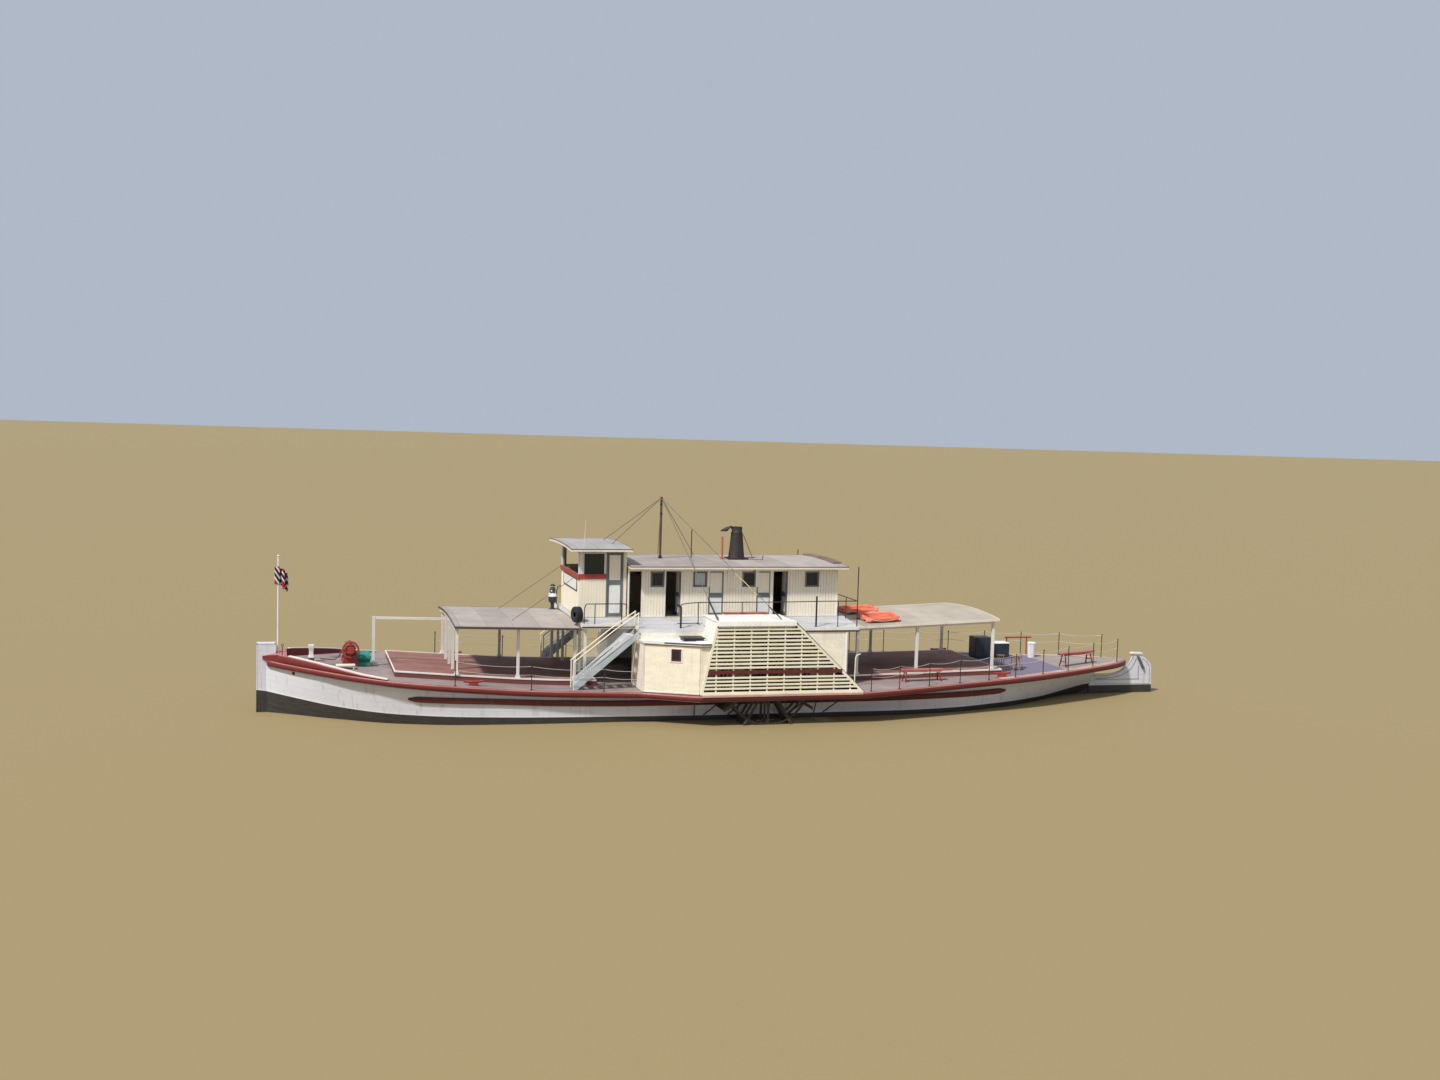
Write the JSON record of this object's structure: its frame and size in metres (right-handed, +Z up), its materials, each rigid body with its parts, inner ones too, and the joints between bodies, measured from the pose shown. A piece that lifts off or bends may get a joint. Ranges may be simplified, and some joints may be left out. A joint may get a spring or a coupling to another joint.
{
  "type": "paddle steamer",
  "caption": "Wooden river paddle steamer with side wheels in slatted paddle boxes, raised wheelhouse and cabin, funnel, mast, open deck canopies and a broad rudder.",
  "frame": {"origin": "centreline, at the waterline, half way between the stem and the tip of the stern deck", "axes": "+X aft, +Y starboard, +Z up"},
  "size_m": [35.32, 9.96, 8.77],
  "materials": {
    "hull_white": "gloss paint, weathered",
    "red_trim": "paint, weathered",
    "deck_grey": "worn deck paint",
    "cream": "paint on tongued boards",
    "white": "paint",
    "roof_taupe": "painted canvas on boards",
    "slat_yellow": "paint",
    "black_steel": "satin black",
    "grey_steel": "paint",
    "float_orange": "weathered canvas",
    "timber": "varnished",
    "teal": "paint"
  },
  "bodies": {
    "boat": {"hull": "hull_white", "main_deck": "red_trim", "bulwark": "red_trim", "hold_deck_fore": "deck_grey", "hold_deck_aft": "deck_grey", "upper_deck": "white", "upper_deck_frame": "white", "side_house_port": "cream", "side_house_starboard": "cream", "paddle_box_port": "white", "paddle_box_starboard": "white", "paddle_face_port": "slat_yellow", "paddle_face_starboard": "slat_yellow", "boiler_and_engine": "black_steel", "cabin_side_port": "cream", "cabin_side_starboard": "cream", "cabin_end_aft": "cream", "cabin_roof": "roof_taupe", "wheelhouse_front": "cream", "wheelhouse_back": "cream", "wheelhouse_side_port": "cream", "wheelhouse_side_starboard": "cream", "wheelhouse_roof": "roof_taupe", "steering_stand": "timber", "funnel": "black_steel", "mast": "timber", "mast_stays": "black_steel", "canopy_frame_fore": "white", "canopy_roof_fore": "roof_taupe", "canopy_frame_aft": "white", "canopy_roof_aft": "roof_taupe", "upper_rail": "black_steel", "stern_rail": "grey_steel", "stair_port": "grey_steel", "stair_starboard": "grey_steel", "mooring_post": "white", "jackstaff": "white", "windlass_frame": "red_trim", "windlass_engine": "teal", "side_bench": "red_trim", "stern_bench": "red_trim", "life_float_port": "float_orange", "life_float_middle": "float_orange"},
    "paddles": {"paddle_shaft": "black_steel", "paddle_wheel_port": "black_steel", "paddle_wheel_starboard": "black_steel"},
    "rudder": {"rudder": "hull_white"},
    "steering_wheel": {"steering_wheel": "timber"},
    "windlass_drum": {"windlass_drum": "red_trim"},
    "funnel_flap": {"funnel_flap": "black_steel"},
    "cabin_door_port_1": {"cabin_door_port_1": "cream"},
    "cabin_door_port_2": {"cabin_door_port_2": "cream"},
    "cabin_door_port_3": {"cabin_door_port_3": "cream"},
    "cabin_door_port_4": {"cabin_door_port_4": "cream"},
    "cabin_door_port_5": {"cabin_door_port_5": "cream"},
    "wheelhouse_door_port": {"wheelhouse_door_port": "grey_steel"},
    "cabin_door_starboard_1": {"cabin_door_starboard_1": "cream"},
    "cabin_door_starboard_2": {"cabin_door_starboard_2": "cream"},
    "wheelhouse_door_starboard": {"wheelhouse_door_starboard": "grey_steel"}
  },
  "joints": [
    {"name": "paddle_turn", "type": "hinge", "parent": "boat", "child": "paddles", "pos_m": [0.4, 0, 1.5], "axis": [0, 1, 0], "continuous": true},
    {"name": "rudder_turn", "type": "hinge", "parent": "boat", "child": "rudder", "pos_m": [15.5, 0, 0], "axis": [0, 0, 1], "range_deg": [-35, 35]},
    {"name": "steering_wheel_turn", "type": "hinge", "parent": "boat", "child": "steering_wheel", "pos_m": [-5.15, 0, 4.5], "axis": [1, 0, 0], "continuous": true},
    {"name": "windlass_turn", "type": "hinge", "parent": "boat", "child": "windlass_drum", "pos_m": [-13.81, 0, 2.24], "axis": [0, 1, 0], "continuous": true},
    {"name": "funnel_flap_swing", "type": "hinge", "parent": "boat", "child": "funnel_flap", "pos_m": [0.188, 0, 6.674], "axis": [0, 1, 0], "range_deg": [0, 205]},
    {"name": "cabin_door_port_1_swing", "type": "hinge", "parent": "boat", "child": "cabin_door_port_1", "pos_m": [-4.114, -1.84, 4.3], "axis": [0, 0, 1], "range_deg": [-90, 0]},
    {"name": "cabin_door_port_2_swing", "type": "hinge", "parent": "boat", "child": "cabin_door_port_2", "pos_m": [-2.206, -1.84, 4.3], "axis": [0, 0, 1], "range_deg": [0, 90]},
    {"name": "cabin_door_port_3_swing", "type": "hinge", "parent": "boat", "child": "cabin_door_port_3", "pos_m": [-1.154, -1.9, 4.3], "axis": [0, 0, 1], "range_deg": [-100, 0]},
    {"name": "cabin_door_port_4_swing", "type": "hinge", "parent": "boat", "child": "cabin_door_port_4", "pos_m": [0.676, -1.9, 4.3], "axis": [0, 0, 1], "range_deg": [-100, 0]},
    {"name": "cabin_door_port_5_swing", "type": "hinge", "parent": "boat", "child": "cabin_door_port_5", "pos_m": [1.864, -1.84, 4.3], "axis": [0, 0, 1], "range_deg": [0, 90]},
    {"name": "wheelhouse_door_port_swing", "type": "hinge", "parent": "boat", "child": "wheelhouse_door_port", "pos_m": [-4.386, -1.8, 4.3], "axis": [0, 0, 1], "range_deg": [0, 100]},
    {"name": "cabin_door_starboard_1_swing", "type": "hinge", "parent": "boat", "child": "cabin_door_starboard_1", "pos_m": [-2.206, 1.9, 4.3], "axis": [0, 0, 1], "range_deg": [-100, 0]},
    {"name": "cabin_door_starboard_2_swing", "type": "hinge", "parent": "boat", "child": "cabin_door_starboard_2", "pos_m": [1.864, 1.9, 4.3], "axis": [0, 0, 1], "range_deg": [-100, 0]},
    {"name": "wheelhouse_door_starboard_swing", "type": "hinge", "parent": "boat", "child": "wheelhouse_door_starboard", "pos_m": [-4.386, 1.8, 4.3], "axis": [0, 0, 1], "range_deg": [-100, 0]}
  ]
}
